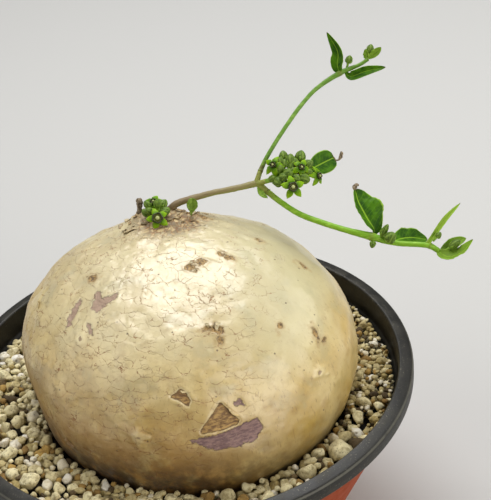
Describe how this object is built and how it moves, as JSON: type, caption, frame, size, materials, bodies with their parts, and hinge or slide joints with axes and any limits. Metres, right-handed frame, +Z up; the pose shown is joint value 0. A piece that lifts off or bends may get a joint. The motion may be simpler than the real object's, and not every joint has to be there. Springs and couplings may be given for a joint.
{
  "type": "potted raphionacme",
  "caption": "Potted caudex plant: a squat cream swollen root in a gravel-filled plastic pan, with thin leafy shoots and clusters of small green star flowers.",
  "frame": {"origin": "centre of the pot's flat base, on the surface that the pot stands on", "axes": "+Z up along the pot's axis, +X towards the side that the shoots lean over, -Y towards the viewer"},
  "size_m": [0.24, 0.21, 0.2114],
  "materials": {
    "pot_plastic": "dusty black polypropylene inside and on the rim, terracotta-orange outside",
    "gravel": "loose matt pumice and baked clay grains",
    "caudex_skin": "dry cream corky skin with fine brown cracks and peeled patches",
    "woody_stem": "mauve-brown bark that turns olive towards the fork",
    "green_shoot": "soft green leaf and stem, semi-gloss",
    "flower_stalk": "yellow-green stalks and ribbed grey-green buds",
    "petal": "yellow-green waxy petal",
    "corona": "very dark olive ring with a pale knob",
    "dead_wood": "grey dry stub"
  },
  "bodies": {
    "root": {"pot": "pot_plastic", "gravel": "gravel", "caudex": "caudex_skin", "main_stem": "woody_stem", "upper_shoot": "green_shoot", "lower_shoot": "green_shoot", "crown_leaf": "green_shoot", "side_flower_stalks": "flower_stalk", "crown_flower_stalks": "flower_stalk", "dead_stub": "dead_wood", "side_flower_left_petals": "petal", "side_flower_left_corona": "corona", "side_flower_back_petals": "petal", "side_flower_back_corona": "corona", "side_flower_front_petals": "petal", "side_flower_front_corona": "corona", "side_flower_right_petals": "petal", "side_flower_right_corona": "corona", "crown_flower_front_petals": "petal", "crown_flower_front_corona": "corona", "crown_flower_back_petals": "petal", "crown_flower_back_corona": "corona"}
  },
  "joints": []
}
